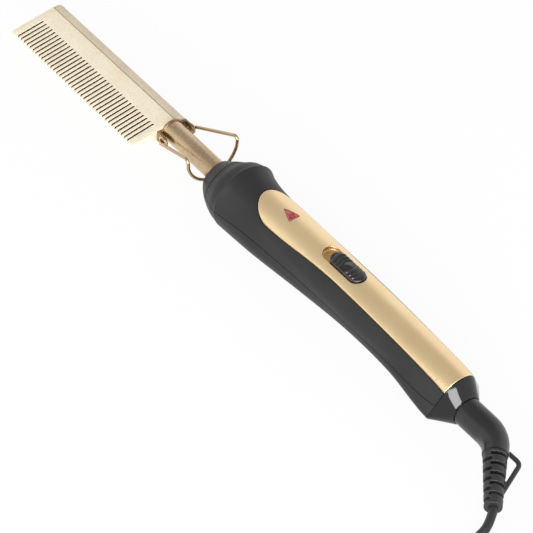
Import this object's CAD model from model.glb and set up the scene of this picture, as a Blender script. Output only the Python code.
import bpy
import bmesh
import math
import numpy as np
from mathutils import Vector, Matrix
from mathutils.geometry import delaunay_2d_cdt


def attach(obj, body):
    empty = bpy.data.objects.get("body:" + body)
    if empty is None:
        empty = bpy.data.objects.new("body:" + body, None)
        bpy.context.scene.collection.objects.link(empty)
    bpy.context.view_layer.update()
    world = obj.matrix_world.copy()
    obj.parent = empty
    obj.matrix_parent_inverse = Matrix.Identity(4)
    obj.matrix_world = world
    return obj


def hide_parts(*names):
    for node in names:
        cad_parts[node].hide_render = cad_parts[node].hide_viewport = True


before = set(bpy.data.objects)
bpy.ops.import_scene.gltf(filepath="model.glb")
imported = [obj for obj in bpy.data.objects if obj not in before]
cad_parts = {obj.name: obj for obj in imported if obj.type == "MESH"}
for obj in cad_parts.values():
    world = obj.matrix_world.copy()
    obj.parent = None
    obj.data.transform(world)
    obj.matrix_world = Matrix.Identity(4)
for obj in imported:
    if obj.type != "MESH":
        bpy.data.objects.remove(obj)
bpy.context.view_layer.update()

# Everything is in metres in the part's frame. SHIFT takes a point of the working frame, whose
# origin is the stand's pivot, to the part's frame; the lengths in the working frame are millimetres.
SHIFT = Vector((-66.4208, 5.04868, 15.5))

bpy.context.scene.view_settings.view_transform = "Standard"


def at(p):
    return (Vector(p) + SHIFT) / 1000


# ---- Camera, from the photograph's perspective ----

PHOTO_SIDE, FOCAL_PIXELS, SENSOR = 533, 2200.78, 36
CAMERA_PLACE = (552.536, -428.421, 622.617)
CAMERA_ANGLES = (48.747, 44.9595, 4.6597)


def set_camera():
    azimuth, elevation, roll = (math.radians(a) for a in CAMERA_ANGLES)
    back = Vector((math.sin(azimuth) * math.cos(elevation), -math.cos(azimuth) * math.cos(elevation),
                   math.sin(elevation)))
    right = Vector((math.cos(azimuth), math.sin(azimuth), 0))
    up = back.cross(right)
    across = right * math.cos(roll) + up * math.sin(roll)
    upward = -right * math.sin(roll) + up * math.cos(roll)
    data = bpy.data.cameras.new("camera")
    data.sensor_width = SENSOR
    data.lens = FOCAL_PIXELS / PHOTO_SIDE * SENSOR
    data.clip_start, data.clip_end = 0.05, 20
    camera = bpy.data.objects.new("camera", data)
    bpy.context.scene.collection.objects.link(camera)
    turn = Matrix((across, upward, back)).transposed()
    camera.matrix_world = Matrix.Translation(at(CAMERA_PLACE)) @ turn.to_4x4()
    bpy.context.scene.camera = camera


set_camera()


# ---- Small tools ----

def link(obj, body):
    bpy.context.scene.collection.objects.link(obj)
    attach(obj, body)
    return obj


def mix(a, b, t):
    return a + (b - a) * t


def quarter(steps):
    """Sine and cosine at even places of a quarter turn."""
    return [(math.sin(a), math.cos(a)) for a in (math.pi / 2 * k / steps for k in range(steps + 1))]


def catmull(points, steps):
    """Smooth line through the points, as in the part's source."""
    out = []
    last = len(points) - 1
    for i in range(last):
        p0, p1, p2, p3 = (points[max(i - 1, 0)], points[i], points[i + 1], points[min(i + 2, last)])
        for k in range(steps):
            t = k / steps
            out.append(0.5 * (2 * p1 + (p2 - p0) * t + (2 * p0 - 5 * p1 + 4 * p2 - p3) * t * t
                              + (3 * p1 - p0 - 3 * p2 + p3) * t ** 3))
    return out + [points[-1]]


def rounded(points, r, steps):
    """Corner points of a path with each corner rounded off to a radius."""
    out = [points[0]]
    for before, p, after in zip(points, points[1:], points[2:]):
        a, b = (before - p).normalized(), (after - p).normalized()
        half = a.angle(b) / 2
        turn = math.pi - 2 * half
        centre = p + (a + b).normalized() * r / math.sin(half)
        start, end = p + a * r / math.tan(half) - centre, p + b * r / math.tan(half) - centre
        out += [centre + (math.sin(turn * (1 - k / steps)) * start + math.sin(turn * k / steps) * end)
                / math.sin(turn) for k in range(steps + 1)]
    return out + [points[-1]]


class Skin:
    """A surface made row by row. Points and normals are in the working frame, in millimetres."""

    def __init__(self):
        self.points, self.normals, self.faces = [], [], []

    def row(self, points, normals):
        first = len(self.points)
        self.points += [tuple(p) for p in points]
        self.normals += [tuple(n) for n in normals]
        return list(range(first, len(self.points)))

    def bridge(self, a, b, closed=False):
        n = len(a)
        for j in range(n if closed else n - 1):
            self.faces.append((a[j], a[(j + 1) % n], b[(j + 1) % n], b[j]))

    def rows(self, rows, closed=False):
        made = [self.row(*r) for r in rows]
        for a, b in zip(made, made[1:]):
            self.bridge(a, b, closed)
        return made

    def hang(self, ring, rows):
        """Closed rows that start at the edge of a sheet."""
        self.bridge(ring, self.rows(rows, closed=True)[0], True)

    def lines(self, rows):
        """Rows that give a pair of point and normal at each place."""
        self.rows([([q[0] for q in row], [q[1] for q in row]) for row in rows])

    def level(self, outer, holes, z, up, spacing):
        """Flat sheet at a height that faces up (1) or down (-1)."""
        return self.fill(outer, holes, lambda x, y: z, lambda x, y: Vector((0, 0, up)), spacing)

    def fill(self, outer, holes, height, normal, spacing):
        """Even sheet between an outer loop and holes, all in plan; gives the loops' points back."""
        loops = [outer] + holes
        plan, edges = [], []
        for loop in loops:
            n = len(plan)
            plan += [Vector(p) for p in loop]
            edges += [(n + i, n + (i + 1) % len(loop)) for i in range(len(loop))]
        (x0, y0), (x1, y1) = np.min(outer, 0), np.max(outer, 0)
        rim = np.array([tuple(p) for p in plan])
        for i in range(int((x1 - x0) / spacing) + 1):
            for j in range(int((y1 - y0) / spacing) + 1):
                p = (x0 + (i + 0.5) * spacing, y0 + (j + 0.5) * spacing)
                clear = np.min(np.hypot(*(rim - p).T))
                if clear > 0.6 * spacing and inside(p, outer) and not any(inside(p, h) for h in holes):
                    plan.append(Vector(p))
        flat, _, faces, *_ = delaunay_2d_cdt(plan, edges, [], 0, 1e-6)
        first = len(self.points)
        for p in flat:
            self.points.append((p[0], p[1], height(p[0], p[1])))
            self.normals.append(tuple(normal(p[0], p[1])))
        for f in faces:
            mid = sum((flat[i] for i in f), Vector((0, 0))) / 3
            if inside(mid, outer) and not any(inside(mid, h) for h in holes):
                self.faces.append(tuple(first + i for i in f))
        out, start = [], first
        for loop in loops:
            out.append(list(range(start, start + len(loop))))
            start += len(loop)
        return out

    def build(self, name, body, own_normals=True, sharp=None, mirror=False, shape=tuple):
        """Mesh object of the surface; with mirror the half with y > 0 is doubled."""
        points, normals, faces = [shape(p) for p in self.points], list(self.normals), list(self.faces)
        if mirror:
            n = len(points)
            points += [(x, -y, z) for x, y, z in points]
            normals += [(x, -y, z) for x, y, z in normals]
            faces += [tuple(n + i for i in f) for f in faces]
        mesh = bpy.data.meshes.new(name)
        mesh.from_pydata([tuple(at(p)) for p in points], [], faces)
        mesh.update()
        turned = [poly.index for poly in mesh.polygons
                  if poly.normal.dot(sum((Vector(normals[i]) for i in poly.vertices), Vector())) < 0]
        bm = bmesh.new()
        bm.from_mesh(mesh)
        bm.faces.ensure_lookup_table()
        for i in turned:
            bm.faces[i].normal_flip()
        for face in bm.faces:
            face.smooth = True
        if not own_normals:
            bmesh.ops.remove_doubles(bm, verts=bm.verts, dist=1e-6)
            bmesh.ops.dissolve_degenerate(bm, edges=bm.edges, dist=1e-7)
            if sharp:
                for edge in bm.edges:
                    edge.smooth = not sharp(edge)
        bm.to_mesh(mesh)
        bm.free()
        if own_normals:
            mesh.normals_split_custom_set_from_vertices([Vector(v).normalized() for v in normals])
        return link(bpy.data.objects.new(name, mesh), body)


def inside(p, loop):
    """Whether a point lies within a loop, in plan."""
    hit = False
    for (x0, y0), (x1, y1) in zip(loop, loop[1:] + loop[:1]):
        if (y0 > p[1]) != (y1 > p[1]) and p[0] < x0 + (p[1] - y0) * (x1 - x0) / (y1 - y0):
            hit = not hit
    return hit


def sides_of(loop):
    """Outward direction in plan at each point of a loop that turns left."""
    out = []
    for before, p, after in zip(loop[-1:] + loop[:-1], loop, loop[1:] + loop[:1]):
        a = Vector((p[1] - before[1], before[0] - p[0])).normalized()
        b = Vector((after[1] - p[1], p[0] - after[0])).normalized()
        n = (a + b).normalized()
        out.append(n / max(0.5, n.dot(a)))
    return out


def moved_out(loop, d):
    return [(p[0] + n[0] * d, p[1] + n[1] * d) for p, n in zip(loop, sides_of(loop))]


def tube(name, path, sizes, body, sides, ends=True):
    """Round tube along a path, with one diameter or one at each point."""
    skin = Skin()
    if not isinstance(sizes, list):
        sizes = [sizes] * len(path)
    side = Vector((0, 0, 1))
    rows = []
    last = len(path) - 1
    for i, p in enumerate(path):
        d = (path[min(i + 1, last)] - path[max(i - 1, 0)]).normalized()
        side = (side - side.dot(d) * d).normalized()
        other = d.cross(side)
        around = [math.cos(k * math.tau / sides) * side + math.sin(k * math.tau / sides) * other
                  for k in range(sides)]
        ring = ([p + sizes[i] / 2 * v for v in around], around)
        if ends and i in (0, last):
            out = -d if i == 0 else d
            cap = [([p + sizes[i] / 2 * k * v for v in around], [out] * sides) for k in (0.01, 0.97)]
            rows += [*cap, ring] if i == 0 else [ring, *reversed(cap)]
        else:
            rows.append(ring)
    skin.rows(rows, closed=True)
    return skin.build(name, body)


def softened(node, name, body, width, segments=3, angle=30):
    """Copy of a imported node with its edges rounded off, which stands for the node."""
    obj = bpy.data.objects.new(name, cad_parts[node].data.copy())
    bm = bmesh.new()
    bm.from_mesh(obj.data)
    bmesh.ops.remove_doubles(bm, verts=bm.verts, dist=1e-7)
    bmesh.ops.dissolve_limit(bm, angle_limit=math.radians(1), verts=bm.verts, edges=bm.edges)
    bm.to_mesh(obj.data)
    bm.free()
    bevelled(link(obj, body), width, segments, angle)
    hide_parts(node)


def bevelled(obj, width, segments, angle):
    """Round off the edges that turn by more than an angle."""
    bevel = obj.modifiers.new("edges", "BEVEL")
    bevel.width, bevel.segments, bevel.limit_method = width / 1000, segments, "ANGLE"
    bevel.angle_limit, bevel.use_clamp_overlap = math.radians(angle), True
    keep_modified(obj)


def keep_modified(obj):
    """Make what the modifiers give the object's own smooth mesh."""
    bpy.context.view_layer.update()
    mesh = bpy.data.meshes.new_from_object(obj.evaluated_get(bpy.context.evaluated_depsgraph_get()))
    obj.modifiers.clear()
    obj.data = mesh
    for poly in mesh.polygons:
        poly.use_smooth = True
    mesh.set_sharp_from_angle(angle=math.radians(40))


# ---- Cord ----

FLOOR_Z = -15.5
CORD_D = 3.6
RELIEF_TO = Vector((226.81, -23.3797, -3.5))
RELIEF_DIR = Vector((math.cos(math.radians(44)), -math.sin(math.radians(44)), 0))
COIL_CENTRE = Vector((296, -25, 0))
COIL_PITCH, COIL_TURNS, COIL_LAYERS, COIL_MID = 4.15, 3, 4, 21.5
COIL_BASE = FLOOR_Z + CORD_D / 2 + 0.9
PLUG_Z = COIL_BASE + (COIL_LAYERS - 1) * COIL_PITCH + CORD_D / 2 + 0.3 + 13.7 / 2


def coil_point(a):
    width = COIL_PITCH * COIL_TURNS
    turn = COIL_TURNS * 360
    i = min(COIL_LAYERS - 1, int(a // (turn + 180)))
    b = a - i * (turn + 180)
    t = min(1, b / turn)
    up = (b - turn) / 180 if b > turn else 0
    side = 1 if i % 2 == 0 else -1
    swing = math.sin(math.pi * up)
    r = COIL_MID + side * width * (0.5 - t) - side * 0.3 * COIL_PITCH * swing
    turned = math.radians(270 + a)
    return Vector((COIL_CENTRE[0] + r * math.cos(turned), COIL_CENTRE[1] + r * math.sin(turned),
                   COIL_BASE + COIL_PITCH * (i + (1 - math.cos(math.pi * up)) / 2)))


def cord_route():
    """Lead, coil and tail as one line, through the route's own points."""
    sweep = COIL_LAYERS * (COIL_TURNS * 360 + 180) - 180
    coil_in, coil_end = coil_point(0), coil_point(sweep)
    along = Vector((CORD_D, 0, 0))
    lead = [RELIEF_TO + CORD_D / 2 * RELIEF_DIR] + [Vector(p) for p in (
        (231.4, -30.5, -5), (232.2, -36.5, -7.6), (234.6, -43.2, -10.2), (239.6, -49, -12.2),
        (247, -52.2, -13.3), (257, -52.8, -13.7), (269, -52.8, -13.7), (280, -52.7, -13.3))]
    lead = [RELIEF_TO] + catmull(lead + [coil_in - 2 * along], 6) + [coil_in - along]
    coil = [coil_point(a) for a in range(0, sweep + 1, 10)]
    plug_at = COIL_CENTRE + Vector((-1, -12, PLUG_Z))
    tail = [coil_end - 2 * along] + [COIL_CENTRE + Vector(p) for p in (
        (-13.5, 25.6, 0.7), (-19.5, 20.7, 2.3), (-23.8, 13.5, 3.8), (-25, 5.5, 4.6), (-22.8, -2, 5.4),
        (-17.6, -8, 6.4), (-11, -11.2, 8))] + [plug_at - along]
    tail = [coil_end - along] + catmull(tail, 6) + [plug_at]
    return lead + coil + tail


def build_cord():
    points = cord_route()
    cord = tube("cord", points, CORD_D, "cord", 10)
    places = [at(p) for p in points]
    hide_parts("cord_lead", "cord_coil", "cord_tail")
    return cord


cord = build_cord()


# ---- Form of the handle, by the stations of the part's source ----
#
# The first rows, the nose cone's, are fitted more closely to the photograph than in the source.

NOSE_X, SHELL_X, CAP_X, REAR_X = 28.9, 36.5, 180.5, 185.8
HANDLE_LEN = CAP_X - NOSE_X
# Share of the length; z, r of the top circle; y, z, r of the side circle; z, r of the lowest.
STATIONS = (
    (0, -0.5, 6.6, 1.5, -1.7, 6.6, -1.7, 6.6),
    (0.0175, -0.6, 8.2, 2.0, -2.1, 8.0, -2.1, 8.0),
    (0.042, -0.6, 10.6, 1.5, -1.9, 10.5, -1.8, 10.5),
    (0.0835, -0.5, 14.0, 0.3, -1.0, 14.3, -0.6, 14.7),
    (0.1165, 0, 15.7, 0.1, -0.1, 15.6, 0, 15.6),
    (0.141, 0.6, 14.1, 2.6, -1.7, 12.5, -1.7, 13.6),
    (0.192, 1.4, 12.3, 4.9, -3.2, 9.5, -3.5, 11.0),
    (0.271, 2.0, 11.3, 7.4, -3.9, 6.5, -4.5, 9.3),
    (0.456, 2.0, 11.3, 5.8, -3.1, 6.0, -4.0, 8.3),
    (0.64, 1.8, 11.2, 4.9, -1.5, 6.0, -3.5, 8.0),
    (0.812, 1.4, 10.6, 6.3, -2.0, 5.0, -4.5, 8.2),
    (0.944, 1.1, 9.7, 9.9, -4.1, 3.4, -6.2, 9.0),
    (1, 0.9, 9.1, 10.9, -5.3, 2.4, -6.8, 8.8))
RIDGE_ROW = 4
END_LEAN = 0.15
END_TOP = STATIONS[-1][1] + STATIONS[-1][2]
LEAN_FROM = NOSE_X + STATIONS[-2][0] * HANDLE_LEN
RIDGE_X = NOSE_X + STATIONS[RIDGE_ROW][0] * HANDLE_LEN


def eased(c, u):
    i = 0
    while i < len(STATIONS) - 2 and u >= STATIONS[i + 1][0]:
        i += 1

    def slope(k, side):
        a = k if k == RIDGE_ROW and side > 0 else max(k - 1, 0)
        b = k if k == RIDGE_ROW and side < 0 else min(k + 1, len(STATIONS) - 1)
        return (STATIONS[b][c] - STATIONS[a][c]) / (STATIONS[b][0] - STATIONS[a][0])

    w = STATIONS[i + 1][0] - STATIONS[i][0]
    t = (u - STATIONS[i][0]) / w
    return ((2 * t ** 3 - 3 * t ** 2 + 1) * STATIONS[i][c] + (t ** 3 - 2 * t ** 2 + t) * w * slope(i, 1)
            + (3 * t ** 2 - 2 * t ** 3) * STATIONS[i + 1][c] + (t ** 3 - t ** 2) * w * slope(i + 1, -1))


def circles(x, inset=0.0):
    """The top, side and lowest circle of a section, each as y, z and radius."""
    u = min(1, max(0, (x - NOSE_X) / HANDLE_LEN))
    return [(0, eased(1, u), eased(2, u) - inset), (eased(3, u), eased(4, u), eased(5, u) - inset),
            (0, eased(6, u), eased(7, u) - inset)]


def end_shift(z):
    """The shells end on a plane that leans: how far its point at a height lies from CAP_X."""
    return END_LEAN * (z - END_TOP)


def leaned(p):
    """A point of the handle moved along with the leaning end."""
    share = min(1, max(0, (p[0] - LEAN_FROM) / (CAP_X - LEAN_FROM)))
    return p[0] + share * end_shift(p[2]), p[1], p[2]


class Half:
    """Outline of a section from its lowest to its highest point, on the side of +Y."""

    def __init__(self, three):
        a = np.radians(np.arange(-90, 90.5, 1.0))
        directions = np.stack([np.cos(a), np.sin(a)], 1)
        c = np.array(three)
        reach = directions @ c[:, :2].T + c[:, 2]
        best = c[np.argmax(reach, 1)]
        self.p = best[:, :2] + best[:, 2:] * directions
        self.d = directions
        self.s = np.concatenate([[0], np.cumsum(np.hypot(*np.diff(self.p, axis=0).T))])
        self.end = float(self.s[-1])
        self.upper = slice(int(np.argmax(self.p[:, 0])), None)

    def at_length(self, s):
        """Place and outward direction at a length along the outline: y, z, then their direction."""
        return [float(np.interp(s, self.s, line)) for line in (*self.p.T, *self.d.T)]

    def s_at_height(self, z):
        return float(np.interp(z, self.p[:, 1], self.s))

    def y_at_height(self, z):
        return float(np.interp(z, self.p[:, 1], self.p[:, 0]))

    def s_at_side(self, y):
        return float(np.interp(-y, -self.p[self.upper, 0], self.s[self.upper]))

    def top_at(self, y):
        return float(np.interp(-abs(y), -self.p[self.upper, 0], self.p[self.upper, 1]))


halves = {}


def half(x, inset=0.0):
    key = (round(x, 3), round(inset, 3))
    if key not in halves:
        halves[key] = Half(circles(*key))
    return halves[key]


def top_height(x, y, inset=0.0):
    return half(x, inset).top_at(y)


def top_normal(x, y, inset=0.0):
    e = 0.15
    dx = top_height(x + e, y, inset) - top_height(x - e, y, inset)
    dy = top_height(x, y + e, inset) - top_height(x, y - e, inset)
    return Vector((-dx, -dy, 2 * e)).normalized()


# ---- Shells of the handle ----

# Half the gap of the seam, and its rolled edge as height, inset and share of the sideways normal.
SEAM = 0.1
SEAM_TOP = SEAM + 0.15
SEAM_EDGE = ((SEAM, 1.3, 0), (SEAM, 0.15, 0.15), (SEAM + 0.04, 0.04, 0.6), (SEAM_TOP, 0, 1))
COVER_X, COVER_ROUND, COVER_FRONT, COVER_WAIST, COVER_EASE = 59.7, 11.5, 8.9, 7.4, 44.0
COVER_GAP, COVER_PROUD, COVER_STEPS = 0.25, 0.15, 84
ROLL = 0.25
# Rolled rim of the shell round the cover: distance outward, drop and lean of the normal.
SHELL_RIM = ((0.1, 0.03, 0.4), (0.03, 0.1, 0.8), (0, 0.25, 1), (0, 1.3, 1), (-1.6, 1.3, 0))
HOLLOW = 0.2
UPPER_COUNT, LOWER_COUNT, COLLAR_COUNT = 44, 40, 60


def cover_half(x):
    t = min(1, max(0, (x - COVER_X - COVER_ROUND) / COVER_EASE))
    return mix(COVER_FRONT, COVER_WAIST, (1 - math.cos(math.pi * t)) / 2)


def cover_edge(steps):
    """One side of the cover's outline with its outward direction, from the tip to the rear."""
    out = []
    for s, c in quarter(steps):
        n = Vector((-COVER_FRONT * c, COVER_ROUND * s)).normalized()
        out.append((Vector((COVER_X + COVER_ROUND * (1 - c), COVER_FRONT * s)), n))
    start = COVER_X + COVER_ROUND
    for k in range(1, COVER_STEPS + 1):
        x = mix(start, CAP_X, k / COVER_STEPS)
        out.append((Vector((x, cover_half(x))), Vector((0, 1))))
    return out


def seam_rows(x, inset, side):
    """Rolled edge of a shell at the seam, from inside the gap out to the surface."""
    out = []
    for z, k, n in SEAM_EDGE:
        y = half(x, inset + k).y_at_height(side * z)
        out.append(((x, y, side * z), (0, max(n, 0.01), -side * (1 - n))))
    return out


def run(x, inset, s0, s1, count):
    """Points and normals of a section between two places on its outline."""
    h = half(x, inset)
    out = []
    for k in range(count + 1):
        y, z, ny, nz = h.at_length(mix(s0, s1, k / count))
        out.append(((x, y, z), (0, ny, nz)))
    return out


def section(x, inset, side, end, count):
    """Row of a shell from the gap of the seam to a place on the outline."""
    start = half(x, inset).s_at_height(side * SEAM_TOP)
    return seam_rows(x, inset, side) + run(x, inset, start, end, count)[1:]


def ends_rolled(xs):
    """Stations with their insets: the surface rolls in at both ends."""
    first, last = xs[0], xs[-1]
    return ([(first, 1.2), (first, 0.5), (first + 0.13, 0.2), (first + 0.32, 0.05), (first + 0.55, 0)]
            + [(x, hollow(x)) for x in xs[1:-1]]
            + [(last - 0.16, 0), (last - 0.05, 0.05), (last, 0.16), (last, 0.9)])


def hollow(x):
    """The cone in front of the ridge is drawn in a little, which makes the ridge crisp."""
    t = (x - SHELL_X) / (RIDGE_X - SHELL_X)
    return HOLLOW * math.sin(math.pi * t * t) if 0 < t < 1 else 0.0


def spaced(a, b, step):
    """Even places from a up to, but without, b."""
    n = max(1, math.ceil((b - a) / step))
    return [mix(a, b, k / n) for k in range(n)]


def is_crease(edge):
    """Whether an edge lies on the ridge, which stays sharp."""
    x = (RIDGE_X + SHIFT[0]) / 1000
    return all(abs(v.co.x - x) < 1e-6 for v in edge.verts)


def build_upper_shell():
    """Whole sections up to the cover's tip, then sections that end at the cover's rim."""
    skin = Skin()
    tip = COVER_X - COVER_GAP - ROLL
    xs = [SHELL_X] + spaced(SHELL_X + 0.8, RIDGE_X, 1.0) + spaced(RIDGE_X, tip, 1.0) + [tip]
    rows = []
    for x, inset in ends_rolled(xs)[:-4]:
        rows.append(section(x, inset, 1, half(x, inset).end, UPPER_COUNT))
    rims = []
    for p, n in cover_edge(18):
        flat = p + n * (COVER_GAP + ROLL)
        x = min(flat[0], CAP_X)
        rows.append(section(x, 0, 1, half(x).s_at_side(flat[1]), UPPER_COUNT))
        rim = [rows[-1][-1]]
        for out, drop, lean in SHELL_RIM:
            q = p + n * (COVER_GAP + out)
            z = top_height(min(q[0], CAP_X), q[1]) - drop
            rim.append(((min(q[0], CAP_X), max(q[1], 0), z), (-n[0] * lean, -n[1] * lean, 1 - lean + 0.01)))
        rims.append(rim)
    skin.lines(rows)
    skin.lines(rims)
    shell = skin.build("shell_upper", "handle", False, is_crease, True, leaned)
    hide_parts("upper_shell")


def build_lower_shell():
    skin = Skin()
    rows = []
    xs = [SHELL_X] + spaced(SHELL_X + 0.8, RIDGE_X, 1.0) + spaced(RIDGE_X, CAP_X - 0.5, 1.3) + [CAP_X]
    for x, inset in ends_rolled(xs):
        row = section(x, inset, -1, 0, LOWER_COUNT)
        rows.append([((px, py, max(pz, FLOOR_Z)), n) for (px, py, pz), n in row])
    skin.lines(rows)
    shell = skin.build("shell_lower", "handle", False, is_crease, True, leaned)
    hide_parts("lower_shell")


def build_collar():
    """Short black collar with the tube's hole in its front face."""
    skin = Skin()
    rows = []
    hole, face = 4.93, 0.45
    stations = [(NOSE_X + 0.9, None), (NOSE_X, None), (NOSE_X, face), (NOSE_X + 0.12, 0.16),
                (NOSE_X + 0.4, 0)]
    stations += [(x, 0) for x in spaced(NOSE_X + 0.7, SHELL_X - 0.2, 0.4)]
    stations += [(SHELL_X - 0.4, 0), (SHELL_X - 0.15, 0.12), (SHELL_X - 0.04, 0.4), (SHELL_X - 0.04, 1.2)]
    for x, inset in stations:
        if inset is None:
            a = [math.radians(-90 + 180 * k / COLLAR_COUNT) for k in range(COLLAR_COUNT + 1)]
            rows.append([((x, hole * math.cos(t), hole * math.sin(t)), (-1, -math.cos(t), -math.sin(t)))
                         for t in a])
        else:
            rows.append(run(x, inset, 0, half(x, inset).end, COLLAR_COUNT))
            if inset == face:
                rows[-1] = [(q, (-1, 0, 0)) for q, _ in rows[-1]]
    skin.lines(rows)
    collar = skin.build("collar", "handle", False, lambda e: e.calc_face_angle(0) > 1.0, mirror=True)
    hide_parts("nose_collar")


# ---- Gold cover with its pocket, lamp window and switch ----

POCKET_X, POCKET_LEN, POCKET_W, POCKET_DEPTH = 110.3, 23.2, 7.9, 2.0
SLIDER_LEN, SLIDER_W, TRAVEL = 18.2, 7.4, 4.5
SLIDER_X = POCKET_X + POCKET_LEN / 2 - 0.25 - SLIDER_LEN / 2
EDGE_ROLL, POCKET_ROLL, WINDOW_ROLL, TUB_FILLET, TUB_T = 0.35, 0.3, 0.12, 1.3, 0.8
LENS_X, LENS_LEN, LENS_W, LENS_CORNER, LENS_DEEP = 71.6, 7.2, 5.4, 0.35, 3.5
POCKET_TOP = top_height(POCKET_X, 0)
TUB_FLOOR = POCKET_TOP - POCKET_DEPTH
SWITCH_TOP = TUB_FLOOR - TUB_T - 0.3


def stadium(x, length, width, steps=18):
    """Loop with straight sides and round ends, centred on x."""
    r = width / 2
    c = length / 2 - r
    turns = [math.pi * (k / steps - 0.5) for k in range(steps + 1)]
    return ([(x + c + r * math.cos(a), r * math.sin(a)) for a in turns]
            + [(x - c - r * math.cos(a), -r * math.sin(a)) for a in turns])


def thicker(loop, step):
    """The loop with long sides divided into short ones."""
    out = []
    for p, q in zip(loop, loop[1:] + loop[:1]):
        n = max(1, math.ceil(math.dist(p, q) / step))
        out += [(mix(p[0], q[0], k / n), mix(p[1], q[1], k / n)) for k in range(n)]
    return out


def triangle(grow):
    """Outline of the lamp window, grown by a distance."""
    a = Vector((LENS_X - 2 * grow, 0, 0))
    b, c = (Vector((LENS_X + LENS_LEN + grow, t * (LENS_W / 2 + 1.4 * grow), 0)) for t in (-1, 1))
    mid = (a + b) / 2
    ring = rounded([mid, b, c, a, mid], LENS_CORNER, 4)[:-1]
    return [(p[0], p[1]) for p in ring]


def rim_rows(loop, outward, height, normal, r):
    """Rolled rim beside a loop: outward is 1 away from its inside, -1 into it."""
    out = []
    for s, c in quarter(4):
        ring = moved_out(loop, outward * r * s)
        points, normals = [], []
        for (x, y), p, n in zip(ring, loop, sides_of(loop)):
            points.append((x, y, height(*p) - r * (1 - c)))
            side = Vector((n[0], n[1], 0)).normalized() * outward
            normals.append(c * normal(*p) + s * side)
        out.append((points, normals))
    return out


def build_cover():
    """Sheet with rolled rims, a tub for the switch and a window for the lamp."""
    skin = Skin()

    def height(x, y):
        return top_height(min(x, CAP_X), y, -COVER_PROUD)

    def normal(x, y):
        return top_normal(min(x, CAP_X - 0.2), y, -COVER_PROUD)

    side = [tuple(p) for p, _ in cover_edge(14)]
    side[-1] = (CAP_X - 0.04, side[-1][1])
    outer = thicker([(x, -y) for x, y in side] + list(reversed(side[1:])), 0.9)
    edge = moved_out(outer, -EDGE_ROLL)
    pocket = moved_out(thicker(stadium(POCKET_X, POCKET_LEN, POCKET_W), 0.7), POCKET_ROLL)
    window = moved_out(thicker(triangle(0.1), 0.5), WINDOW_ROLL)
    loops = skin.fill(edge, [pocket, window], height, normal, 0.75)
    kinds = ((edge, 1, EDGE_ROLL, 1.0), (pocket, -1, POCKET_ROLL, None), (window, -1, WINDOW_ROLL, 1.2))
    for ring, (loop, outward, roll, deep) in zip(loops, kinds):
        rows = rim_rows(loop, outward, height, normal, roll)
        points, normals = rows[-1]
        if deep:
            rows.append(([(x, y, z - deep) for x, y, z in points], normals))
        else:
            flat = [Vector((n[0], n[1], 0)).normalized() for n in normals]
            for s, c in quarter(6):
                over, z = TUB_FILLET * (1 - c), TUB_FLOOR + TUB_FILLET * (1 - s)
                rows.append(([(x + f[0] * over, y + f[1] * over, z) for (x, y, _), f in zip(points, flat)],
                             [f * c + Vector((0, 0, s)) for f in flat]))
        skin.hang(ring, rows)
        if not deep:
            floor = [(p[0], p[1]) for p in rows[-1][0]]
            if sum(a[0] * b[1] - a[1] * b[0] for a, b in zip(floor, floor[1:] + floor[:1])) < 0:
                floor.reverse()
            slot = stadium(SLIDER_X - TRAVEL / 2, NECK_LEN + TRAVEL + 0.8, NECK_W + 0.5, 4)
            last = skin.level(floor, [slot], TUB_FLOOR, 1, 1.0)
            wall = [(-n[0], -n[1], 0.01) for n in sides_of(slot)]
            skin.bridge(last[1], skin.row([(x, y, TUB_FLOOR - TUB_T) for x, y in slot], wall), True)
    cover = skin.build("cover", "handle", shape=leaned)
    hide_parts("cover_plate")
    return cover


def build_lens():
    """Triangular lamp window with a rolled rim and a slightly domed face."""
    skin = Skin()
    mid = LENS_X + LENS_LEN * 0.62
    top = top_height(mid, 0) + COVER_PROUD + 0.4

    def height(x, y):
        return top + 0.12 - 0.02 * ((x - mid) ** 2 + y * y)

    def normal(x, y):
        return Vector((0.04 * (x - mid), 0.04 * y, 1)).normalized()

    loop = moved_out(thicker(triangle(0), 0.4), -0.3)
    ring = skin.fill(loop, [], height, normal, 0.5)[0]
    rows = rim_rows(loop, 1, height, normal, 0.3)
    points, normals = rows[-1]
    base = top_height(mid, 0) - LENS_DEEP
    rows.append(([(x, y, base) for x, y, _ in points], normals))
    skin.hang(ring, rows)
    skin.level([(x, y) for x, y, _ in points], [], base, -1, 2.0)
    lens = skin.build("lamp_window", "handle")
    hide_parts("lamp_lens")


SLIDER_PROUD, SLIDER_ROLL, NECK_LEN, NECK_W = 0.9, 0.5, 5, 3
RIDGES, RIDGE_W, RIDGE_RISE, OVAL_RISE = (3.0, 4.9, 6.8), 0.42, 0.55, 0.45


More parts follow.
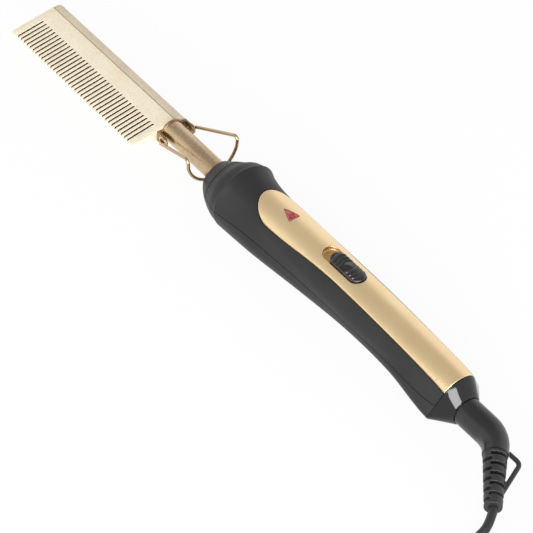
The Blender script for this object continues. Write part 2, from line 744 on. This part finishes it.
def build_slider():
    """Switch button: an oval in the middle and curved ridges towards both ends, on a neck."""
    skin = Skin()
    top = POCKET_TOP + SLIDER_PROUD

    def height(x, y):
        w = abs(x - SLIDER_X) + 0.10 * y * y
        fade = max(0, min(1, (SLIDER_W / 2 - 0.15 - abs(y)) / 0.7)) * max(0, min(1, (8.6 - w) / 0.5))
        ridges = sum(math.exp(-((w - c) / RIDGE_W) ** 2) for c in RIDGES)
        oval = math.exp(-((x - SLIDER_X) / 1.7) ** 2 - (y / 1.6) ** 2)
        return top - 0.035 * y * y + fade * (RIDGE_RISE * ridges + OVAL_RISE * oval)

    def normal(x, y):
        e = 0.05
        slope = height(x - e, y) - height(x + e, y), height(x, y - e) - height(x, y + e)
        return Vector((*slope, 2 * e)).normalized()

    loop = moved_out(thicker(stadium(SLIDER_X, SLIDER_LEN, SLIDER_W), 0.3), -SLIDER_ROLL)
    ring = skin.fill(loop, [], height, normal, 0.2)[0]
    rows = rim_rows(loop, 1, height, normal, SLIDER_ROLL)
    points, normals = rows[-1]
    low = TUB_FLOOR + 0.15
    rows.append(([(x, y, low) for x, y, _ in points], normals))
    skin.hang(ring, rows)
    skin.level([(x, y) for x, y, _ in points], [], low, -1, 2.0)
    neck = [(SLIDER_X + i * NECK_LEN / 2, j * NECK_W / 2) for i, j in ((1, -1), (1, 1), (-1, 1), (-1, -1))]
    sides = [(n[0], n[1], 0) for n in sides_of(neck)]
    foot = SWITCH_TOP - 1.9
    skin.rows([([(x, y, z) for x, y in neck], sides) for z in (low, foot)], closed=True)
    skin.level(neck, [], foot, -1, 2.0)
    button = skin.build("switch_button", "slider")
    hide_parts("switch_slider")


build_upper_shell()
build_lower_shell()
build_collar()
cover = build_cover()
build_lens()
build_slider()


# ---- Comb head ----

COMB_LEN, PIVOT_GAP, REACH, ROOT, PITCH, GAP = 92.0, 4.4, 20.4, 6.2, 2.31, 0.85
FACE_EDGE, BACK_R, BACK_FROM = 1.8, 4.5, 1.7
TIP_LEN, TIP_HALF, TOOTH_HALF, EDGE_HALF = 0.9, 0.25, 0.72, BACK_R - 0.15
GROOVE_W, COMB_BEVEL = 0.6, 0.13
HEAD_X, FAR_X = -PIVOT_GAP, -PIVOT_GAP - COMB_LEN
SLOTS = 37
SLOT_FROM = FAR_X + (COMB_LEN - (SLOTS - 1) * PITCH) / 2


def comb_half(y):
    """Half thickness of the head between the tips and the edge of its flat faces."""
    if y < -REACH + TIP_LEN:
        return mix(TIP_HALF, TOOTH_HALF, (y + REACH) / TIP_LEN)
    return mix(TOOTH_HALF, EDGE_HALF, (y + REACH - TIP_LEN) / (FACE_EDGE + REACH - TIP_LEN))


def build_comb():
    """The head: slots cut between the teeth, whose tips are narrowed, and a rounded back."""
    bm = bmesh.new()
    cells = [(FAR_X, True)]
    for k in range(SLOTS):
        cells += [(SLOT_FROM + k * PITCH - GAP / 2, False), (SLOT_FROM + k * PITCH + GAP / 2, True)]
    xs = [c[0] for c in cells] + [HEAD_X]
    solid = [c[1] for c in cells]
    lows = [-REACH, -REACH + 0.35, -REACH + TIP_LEN, -15.5, -11.0, -ROOT]
    back = [(FACE_EDGE, EDGE_HALF), (FACE_EDGE + GROOVE_W / 2, BACK_R - 0.4),
            (FACE_EDGE + GROOVE_W, BACK_R - 0.13), (FACE_EDGE + BACK_FROM, BACK_R - 0.05)]
    back += [(FACE_EDGE + BACK_FROM + BACK_R * s, BACK_R * c) for s, c in quarter(9)[1:-1]]
    ys = lows + [-3.0] + [b[0] for b in back]
    zs = [comb_half(y) for y in lows + [-3.0]] + [b[1] for b in back]
    narrow = {0: 0.34, 1: 0.1}
    made = {}

    def vert(i, j, side, cell):
        """Corner on line i of the slots' sides and row j; tips differ between the two neighbours."""
        x = xs[i]
        tip = narrow.get(j, 0) * (1 if cell == i else -1)
        if i in (0, len(xs) - 1) and j in narrow:
            tip *= 1.2
        key = (round(x + tip, 4), j, side)
        if key not in made:
            made[key] = bm.verts.new(at((x + tip, ys[j], side * zs[j])))
        return made[key]

    def face(cell, turn, *corners):
        """Face through four corners, each as line, row and side; turned over where turn is -1."""
        verts = [vert(*corner, cell) for corner in corners][::turn]
        if len(set(verts)) == 4:
            bm.faces.new(verts)

    rows = len(ys)
    for c, full in enumerate(solid):
        d = c + 1
        for j in range(rows - 1):
            if full or ys[j] >= -ROOT:
                for side in (1, -1):
                    face(c, side, (c, j, side), (d, j, side), (d, j + 1, side), (c, j + 1, side))
        face(c, 1, (c, rows - 1, 1), (d, rows - 1, 1), (d, rows - 1, -1), (c, rows - 1, -1))
        if full:
            face(c, 1, (c, 0, -1), (d, 0, -1), (d, 0, 1), (c, 0, 1))
            for i, turn in ((c, 1), (d, -1)):
                for j in range(rows - 1 if i in (0, len(xs) - 1) else len(lows) - 1):
                    face(c, turn, (i, j, 1), (i, j + 1, 1), (i, j + 1, -1), (i, j, -1))
        else:
            j = len(lows) - 1
            face(c, 1, (c, j, 1), (d, j, 1), (d, j, -1), (c, j, -1))
    bmesh.ops.recalc_face_normals(bm, faces=bm.faces)
    mesh = bpy.data.meshes.new("comb")
    bm.to_mesh(mesh)
    bm.free()
    comb = link(bpy.data.objects.new("comb", mesh), "handle")
    bevelled(comb, COMB_BEVEL, 2, 35)
    low, high = ((v + SHIFT[1]) / 1000 for v in (FACE_EDGE - 0.01, FACE_EDGE + 0.01))
    for edge in comb.data.edges:
        if all(low < comb.data.vertices[i].co.y < high for i in edge.vertices):
            edge.use_edge_sharp = True
    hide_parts("comb_head")
    return comb


# ---- Wire stand on its bracket ----

EAR_OUT, WIRE_D = 7.6, 1.5
STAND_REACH, STAND_RISE, STAND_HALF = 24.6, 11.0, 13.0
STUB_END, STUB_OUT = EAR_OUT + 0.2, EAR_OUT + 1.6
# The cross part hangs from HOOK_TOP under the tube, on a curve between an ellipse and a box.
HOOK_TOP, TUBE_D, STAND_CLEAR, HOOK_POWER, WIRE_BEND = 7.5, 9.7, 0.35, 2 / 1.75, 1.6


def build_stand():
    """One bent wire: two stubs in the ears, two legs and the hook under the tube."""
    hook_drop = HOOK_TOP + TUBE_D / 2 + WIRE_D / 2 + STAND_CLEAR
    hook = []
    for a in range(5, 180, 5):
        c, s = math.cos(math.radians(a)), math.sin(math.radians(a))
        hook.append(Vector((STAND_REACH, (STAND_HALF - 0.2) * math.copysign(abs(c) ** HOOK_POWER, c),
                            HOOK_TOP - hook_drop * s ** HOOK_POWER)))
    legs = [rounded([Vector((0, t * (STUB_END - 2.4), 0)), Vector((0, t * STUB_OUT, 0)),
                     Vector((STAND_REACH, t * STAND_HALF, STAND_RISE)), hook[1] if t > 0 else hook[-2]],
                    WIRE_BEND, 8)
            for t in (1, -1)]
    path = legs[0][:-1] + hook[1:-1] + legs[1][::-1][1:]
    path = [p for i, p in enumerate(path) if i == 0 or (p - path[i - 1]).length > 0.05]
    stand = tube("stand", path, WIRE_D - 0.02, "stand", 14)
    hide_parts("wire_stand")


# Rim round an ear's hole: radius, distance outward and lean of the normal. The recess is the rest.
EAR_RIM = ((2.45, 0.0, 1.0), (2.4, 0.3, 0.8), (2.15, 0.5, 0.2), (1.75, 0.52, -0.2), (1.45, 0.35, -0.9),
           (1.4, -0.1, -1.0), (0.95, -0.12, 0.01))
RECESS_R = 1.43


def build_ear_rims():
    """Rolled rim round each hole of the bracket, with a dark recess that the wire comes out of."""
    skin = Skin()
    ring = [math.tau * k / 40 for k in range(40)]
    for side in (1, -1):
        skin.rows([([(r * math.cos(a), side * (EAR_OUT + out), r * math.sin(a)) for a in ring],
                    [(lean * math.cos(a), side * (1 - abs(lean) + 0.01), lean * math.sin(a)) for a in ring])
                   for r, out, lean in EAR_RIM], closed=True)
    return skin.build("ear_rims", "handle")


# ---- Cap, stem and strain relief ----

STEM_Z, STEM_D, ELBOW_LEN, ELBOW_R = -3.5, 12.2, 16.8, 14.0
ELBOW = math.radians(44)
CAP_REAR_R, CAP_GAP, CAP_EDGE, CAP_ROLL = 6.65, 0.15, 0.93, 0.45
RELIEF_D = 9.6
RELIEF_FROM = Vector((206.669, -3.929, STEM_Z))
ELBOW_BACK = REAR_X + ELBOW_LEN - ELBOW_R * math.tan(ELBOW / 2)


def build_cap():
    """Glossy cap that narrows from the handle's section to the stem, with a rounded rear edge."""
    skin = Skin()
    start = circles(CAP_X)

    def at_share(t, inset=0.0):
        out = []
        for i, (y, z, r) in enumerate(start):
            k = t ** 1.2 if i == 0 else t
            out.append((mix(y, 0, k), mix(z, STEM_Z, k), mix(r, CAP_REAR_R, k) - inset))
        return Half(out)

    def ring(t, inset=0.0, shift=0.0):
        h = at_share(t, inset)
        out = []
        for k in range(91):
            y, z, ny, nz = h.at_length(h.end * k / 90)
            z = max(z, FLOOR_Z)
            x = CAP_X + CAP_GAP + shift + t * (REAR_X - CAP_X - CAP_GAP) + (1 - t) * end_shift(z)
            out.append(((x, y, z), (0.2, ny, nz)))
        return out

    rows = [ring(0, 1.0), ring(0, 0.22), ring(0, 0.06, 0.07)]
    rows += [ring(0.03 + 0.9 * k / 22) for k in range(23)]
    rows += [ring(CAP_EDGE + 0.07 * s, CAP_ROLL * (1 - c)) for s, c in quarter(5)[1:]]
    hole = STEM_D / 2 + 0.08
    for x, r, lean in ((REAR_X, hole + 0.3, 0), (REAR_X - 0.3, hole, 0.7), (CAP_X - 2, hole, 1)):
        rows.append([((x, r * math.cos(a), STEM_Z + r * math.sin(a)),
                      (1 - lean + 0.01, -lean * math.cos(a), -lean * math.sin(a)))
                     for a in (math.radians(-90 + 2 * k) for k in range(91))])
    skin.lines(rows)
    cap = skin.build("cap", "handle", False, lambda e: e.calc_face_angle(0) > math.radians(32), mirror=True)
    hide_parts("end_cap")


def build_stem():
    """Swivel stem that bends by its elbow and narrows towards the strain relief."""
    path = [Vector((x, 0, STEM_Z)) for x in (CAP_X - 3.5, CAP_X + 2, REAR_X - 0.4, REAR_X + 1, REAR_X + 4)]
    sizes = [STEM_D] * 5
    steps = 24
    end = RELIEF_D + 0.6
    for k in range(steps + 1):
        a = ELBOW * k / steps
        path.append(Vector((ELBOW_BACK + ELBOW_R * math.sin(a), -ELBOW_R * (1 - math.cos(a)), STEM_Z)))
        sizes.append(mix(STEM_D, end + 0.2, (k / steps) ** 1.5))
    for s, d in ((2.2, end), (2.75, end - 0.1), (2.95, end - 0.6), (3.0, end - 1.8)):
        path.append(RELIEF_FROM + s * RELIEF_DIR)
        sizes.append(d)
    stem = tube("stem", path, sizes, "cord", 40, ends=False)
    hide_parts("swivel_stem")


def build_relief():
    """Slotted strain relief with its loop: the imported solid, melted into one soft moulding."""
    obj = bpy.data.objects.new("relief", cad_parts["strain_relief"].data.copy())
    link(obj, "cord")
    remesh = obj.modifiers.new("melt", "REMESH")
    remesh.mode, remesh.voxel_size = "VOXEL", 0.00022
    keep_modified(obj)
    smooth = obj.modifiers.new("soft", "SMOOTH")
    smooth.factor, smooth.iterations = 0.5, 5
    keep_modified(obj)
    if "sharp_edge" in obj.data.attributes:
        obj.data.attributes.remove(obj.data.attributes["sharp_edge"])
    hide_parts("strain_relief")


comb = build_comb()
build_stand()
ear_rims = build_ear_rims()
softened("stand_bracket", "bracket", "handle", 0.3)
build_cap()
build_stem()
build_relief()
softened("plug_body", "plug", "cord", 1.6, 5, 20)
softened("coil_tie", "tie", "cord", 0.3)


# ---- Materials ----

def fill_ramp(node, stops):
    parts = node.color_ramp.elements
    while len(parts) < len(stops):
        parts.new(0.5)
    for part, (place, colour) in zip(parts, stops):
        part.position, part.color = place, (*colour, 1)


class Nodes:
    """Short way to write a shader: nodes are made and joined by name."""

    def __init__(self, name):
        self.mat = bpy.data.materials.new(name)
        self.mat.use_nodes = True
        self.tree = self.mat.node_tree
        self.shader = self.tree.nodes["Principled BSDF"]
        self.place = self.new("TexCoord").outputs["Object"]

    def new(self, kind, **inputs):
        node = self.tree.nodes.new("ShaderNode" + kind)
        for key, value in inputs.items():
            node.inputs[key.replace("_", " ")].default_value = value
        return node

    def link(self, a, b):
        self.tree.links.new(a, b)

    def noise(self, scale, detail=2.0, rough=0.5):
        node = self.new("TexNoise", Scale=scale, Detail=detail, Roughness=rough)
        self.link(self.place, node.inputs["Vector"])
        return node.outputs["Fac"]

    def ramp(self, fac, stops):
        node = self.new("ValToRGB")
        fill_ramp(node, stops)
        self.link(fac, node.inputs["Fac"])
        return node.outputs["Color"]

    def math(self, operation, a, b):
        node = self.new("Math")
        node.operation = operation
        for value, socket in zip((a, b), node.inputs):
            if isinstance(value, float):
                socket.default_value = value
            else:
                self.link(value, socket)
        return node.outputs[0]

    def span(self, fac, low, high):
        node = self.new("MapRange", To_Min=low, To_Max=high)
        self.link(fac, node.inputs["Value"])
        return node.outputs["Result"]

    def bump(self, height, strength, distance):
        node = self.new("Bump", Strength=strength, Distance=distance)
        self.link(height, node.inputs["Height"])
        self.link(node.outputs["Normal"], self.shader.inputs["Normal"])

    def set(self, **values):
        for key, value in values.items():
            self.shader.inputs[key.replace("_", " ")].default_value = value


looks = {}


def metal(name, low, high, roughness, metallic=1.0, grain=2600, bump=0.12, speckle=0.0, coat=0.0):
    """Satin or blasted metal: fine grain in colour, roughness and relief."""
    n = Nodes(name)
    fine = n.noise(grain, 3, 0.6)
    broad = n.noise(90, 3)
    both = n.new("Mix")
    both.inputs["Factor"].default_value = speckle
    n.link(broad, both.inputs["A"])
    n.link(fine, both.inputs["B"])
    n.link(n.ramp(both.outputs["Result"], [(0.3, low), (0.7, high)]), n.shader.inputs["Base Color"])
    n.link(n.span(fine, roughness - 0.06, roughness + 0.06), n.shader.inputs["Roughness"])
    n.bump(fine, bump, 0.0002)
    n.set(Metallic=metallic)
    n.shader.inputs["Coat Weight"].default_value = coat
    n.shader.inputs["Coat Roughness"].default_value = 0.3
    looks[name] = n.mat


def plastic(name, low, high, roughness, grain=2200, bump=0.1, coat=0.0, specular=0.5):
    """Moulding with broad, faint changes of colour and a fine grain in its relief."""
    n = Nodes(name)
    fine = n.noise(grain, 2, 0.5)
    broad = n.noise(60, 2)
    n.link(n.ramp(broad, [(0.3, low), (0.7, high)]), n.shader.inputs["Base Color"])
    n.link(n.span(fine, roughness - 0.05, roughness + 0.05), n.shader.inputs["Roughness"])
    n.bump(fine, bump, 0.0001)
    n.shader.inputs["Coat Weight"].default_value = coat
    n.shader.inputs["Specular IOR Level"].default_value = specular
    looks[name] = n.mat


metal("blasted_gold", (0.82, 0.70, 0.51), (1.0, 0.93, 0.75), 0.55, 0.35, 1500, 0.5, 0.75)
metal("band_gold", (0.60, 0.50, 0.37), (0.86, 0.74, 0.56), 0.5, 0.45, 1500, 0.5, 0.75)
metal("edge_brown", (0.42, 0.31, 0.18), (0.64, 0.50, 0.31), 0.5, 0.5, 1500, 0.4, 0.7)
metal("slot_brown", (0.035, 0.018, 0.010), (0.10, 0.055, 0.030), 0.5, 0.2, 1500, 0.3, 0.6)
metal("satin_gold", (0.42, 0.29, 0.16), (0.74, 0.55, 0.33), 0.32, 1.0, 1500, 0.25, 0.65, 0.8)
metal("wire_gold", (0.42, 0.29, 0.16), (0.58, 0.42, 0.25), 0.30, 1.0, 1500, 0.15, 0.5, 0.3)
metal("cover_gold", (0.93, 0.66, 0.34), (1.0, 0.80, 0.48), 0.38, 0.95, 2600, 0.25, 0.6, 0.6)
plastic("matte_black", (0.014, 0.014, 0.015), (0.019, 0.019, 0.020), 0.46, 2600, 0.4, 0.0, 0.34)
plastic("gloss_black", (0.003, 0.003, 0.003), (0.006, 0.006, 0.006), 0.09, 900, 0.02, 0.0, 0.45)
plastic("button_black", (0.003, 0.003, 0.003), (0.007, 0.007, 0.007), 0.2, 900, 0.05, 0.2, 0.7)
metal("pocket_gold", (0.40, 0.25, 0.10), (0.72, 0.50, 0.24), 0.42, 0.95, 2600, 0.3, 0.6)
metal("bracket_gold", (0.24, 0.16, 0.09), (0.46, 0.33, 0.20), 0.36, 1.0, 1500, 0.2, 0.6)
plastic("stem_black", (0.012, 0.012, 0.013), (0.018, 0.018, 0.019), 0.3, 1500, 0.15)
plastic("cord_black", (0.016, 0.016, 0.017), (0.022, 0.022, 0.023), 0.42, 1800, 0.18)
metal("steel", (0.55, 0.55, 0.56), (0.68, 0.68, 0.69), 0.3)
metal("copper", (0.75, 0.42, 0.22), (0.85, 0.52, 0.30), 0.3)
plastic("ceramic", (0.72, 0.70, 0.64), (0.80, 0.78, 0.72), 0.55)
plastic("board_green", (0.02, 0.12, 0.05), (0.03, 0.15, 0.07), 0.35)
plastic("sleeve_white", (0.62, 0.61, 0.58), (0.72, 0.71, 0.68), 0.6)
plastic("bush_tan", (0.45, 0.40, 0.32), (0.52, 0.47, 0.38), 0.55)
plastic("block_tan", (0.24, 0.19, 0.13), (0.30, 0.24, 0.17), 0.5)


def red_window(name):
    """Red plastic with a mottled look, as of a lamp behind it."""
    n = Nodes(name)
    n.link(n.ramp(n.noise(700, 3), [(0.38, (0.16, 0.012, 0.018)), (0.62, (0.52, 0.10, 0.11))]),
           n.shader.inputs["Base Color"])
    n.bump(n.noise(1600, 2), 0.15, 0.0001)
    n.set(Roughness=0.16)
    n.shader.inputs["Coat Weight"].default_value = 0.5
    looks[name] = n.mat


red_window("red_window")

WORN = {
    "blasted_gold": ("comb_head", "comb"),
    "satin_gold": ("neck_tube", "ear_rims"),
    "bracket_gold": ("stand_bracket", "bracket"),
    "wire_gold": ("wire_stand", "stand"),
    "matte_black": ("nose_collar", "upper_shell", "lower_shell", "shell_upper", "shell_lower", "collar"),
    "cover_gold": ("cover_plate", "cover"),
    "red_window": ("lamp_lens", "indicator_lamp", "lamp_window"),
    "gloss_black": ("end_cap", "cap"),
    "button_black": ("switch_slider", "switch_button"),
    "stem_black": ("swivel_stem", "stem"),
    "cord_black": ("strain_relief", "plug_body", "coil_tie", "switch_body", "contact_leads", "relief",
                   "plug", "tie"),
    "steel": ("heating_element", "shell_screws", "stem_clip", "plug_pins"),
    "copper": ("slip_rings",),
    "ceramic": ("heater_seal", "thermal_fuse"),
    "board_green": ("circuit_board",),
    "sleeve_white": ("heater_leads",),
    "bush_tan": ("tube_bush",),
    "block_tan": ("contact_block",),
}
for look, names in WORN.items():
    for name in names:
        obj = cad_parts.get(name) or bpy.data.objects[name]
        obj.data.materials.clear()
        obj.data.materials.append(looks[look])
cord.data.materials.append(looks["cord_black"])


def comb_look(p, normal):
    """0 for the flat faces and the teeth, 1 in the slots, 2 on the back and 3 in the groove."""
    if abs(normal.z) < 0.35 and -REACH + TIP_LEN < p.y < -ROOT + 0.4 and FAR_X + 1 < p.x < HEAD_X - 1:
        return 1
    if p.y > FACE_EDGE:
        return 3 if p.y < FACE_EDGE + GROOVE_W else 2
    return 0


def ear_look(p, _):
    return 1 if math.hypot(p.x, p.z) < RECESS_R else 0


def cover_look(p, _):
    """1 within the pocket's tub."""
    return 1 if inside((p.x, p.y), pocket_loop) and p.z < top_height(p.x, p.y) - 0.3 else 0


pocket_loop = stadium(POCKET_X, POCKET_LEN + 0.02, POCKET_W + 0.02)
for obj, more, choose in ((comb, ("slot_brown", "band_gold", "edge_brown"), comb_look),
                          (ear_rims, ("slot_brown",), ear_look), (cover, ("pocket_gold",), cover_look)):
    for look in more:
        obj.data.materials.append(looks[look])
    for poly in obj.data.polygons:
        poly.material_index = choose(poly.center * 1000 - SHIFT, poly.normal)


def shade_smooth(name, angle):
    """Smooth shading on a CAD node, with its real edges kept sharp."""
    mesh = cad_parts[name].data
    bm = bmesh.new()
    bm.from_mesh(mesh)
    for face in bm.faces:
        face.smooth = True
    for edge in bm.edges:
        edge.smooth = len(edge.link_faces) == 2 and edge.calc_face_angle(0) < math.radians(angle)
    bm.to_mesh(mesh)
    bm.free()


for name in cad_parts:
    shade_smooth(name, 28)


# ---- Floor, world and lamps ----

FLOOR_HALF, FLOOR_DROP, WHITE_SHARE = 3.0, 0.0002, 0.93
# Level of the studio by height of direction: bright walls under a dim ceiling.
SKY = ((0.0, 1.0), (0.52, 1.0), (0.7, 0.42), (1.0, 0.48))


def build_floor():
    """Pale floor, white to the camera and in reflections, that keeps the object's shadow."""
    floor = bpy.data.objects.new("floor", bpy.data.meshes.new("floor"))
    corners = [(i * FLOOR_HALF, j * FLOOR_HALF, -FLOOR_DROP)
               for i, j in ((-1, -1), (1, -1), (1, 1), (-1, 1))]
    floor.data.from_pydata(corners, [], [(0, 1, 2, 3)])
    bpy.context.scene.collection.objects.link(floor)
    n = Nodes("floor")
    n.link(n.ramp(n.noise(3, 2), [(0.3, (0.86, 0.86, 0.86)), (0.7, (0.88, 0.88, 0.88))]),
           n.shader.inputs["Base Color"])
    n.set(Roughness=0.9)
    n.shader.inputs["Specular IOR Level"].default_value = 0
    glow = n.new("Emission", Strength=1.0)
    path = n.new("LightPath")
    seen = n.math("MAXIMUM", path.outputs["Is Camera Ray"], path.outputs["Is Glossy Ray"])
    seen = n.math("MAXIMUM", seen, path.outputs["Is Transmission Ray"])
    blend = n.new("MixShader")
    n.link(n.math("MULTIPLY", seen, WHITE_SHARE), blend.inputs["Fac"])
    n.link(n.shader.outputs[0], blend.inputs[1])
    n.link(glow.outputs[0], blend.inputs[2])
    n.link(blend.outputs[0], n.tree.nodes["Material Output"].inputs["Surface"])
    floor.data.materials.append(n.mat)


def build_world():
    """Soft light from all round, by the levels of SKY."""
    world = bpy.data.worlds.new("world")
    bpy.context.scene.world = world
    world.use_nodes = True
    tree = world.node_tree
    coords = tree.nodes.new("ShaderNodeTexCoord")
    split = tree.nodes.new("ShaderNodeSeparateXYZ")
    ramp = tree.nodes.new("ShaderNodeValToRGB")
    ramp.color_ramp.interpolation = "EASE"
    fill_ramp(ramp, [(height, (level, level, level)) for height, level in SKY])
    tree.links.new(coords.outputs["Generated"], split.inputs[0])
    tree.links.new(split.outputs["Z"], ramp.inputs[0])
    tree.links.new(ramp.outputs[0], tree.nodes["Background"].inputs["Color"])


def lamp(name, place, target, size, power):
    data = bpy.data.lights.new(name, "AREA")
    data.shape = "RECTANGLE"
    data.size, data.size_y = size
    data.energy = power
    obj = bpy.data.objects.new(name, data)
    bpy.context.scene.collection.objects.link(obj)
    obj.location = place
    obj.rotation_mode = "QUATERNION"
    obj.rotation_quaternion = (Vector(target) - Vector(place)).to_track_quat("-Z", "Y")


build_floor()
build_world()
lamp("key", (0.94, -1.14, 0.82), (0.05, 0, 0), (1.1, 1.1), 22)
lamp("rear", (1.3, -0.42, 0.24), (0.15, 0, 0.01), (0.9, 0.42), 14)
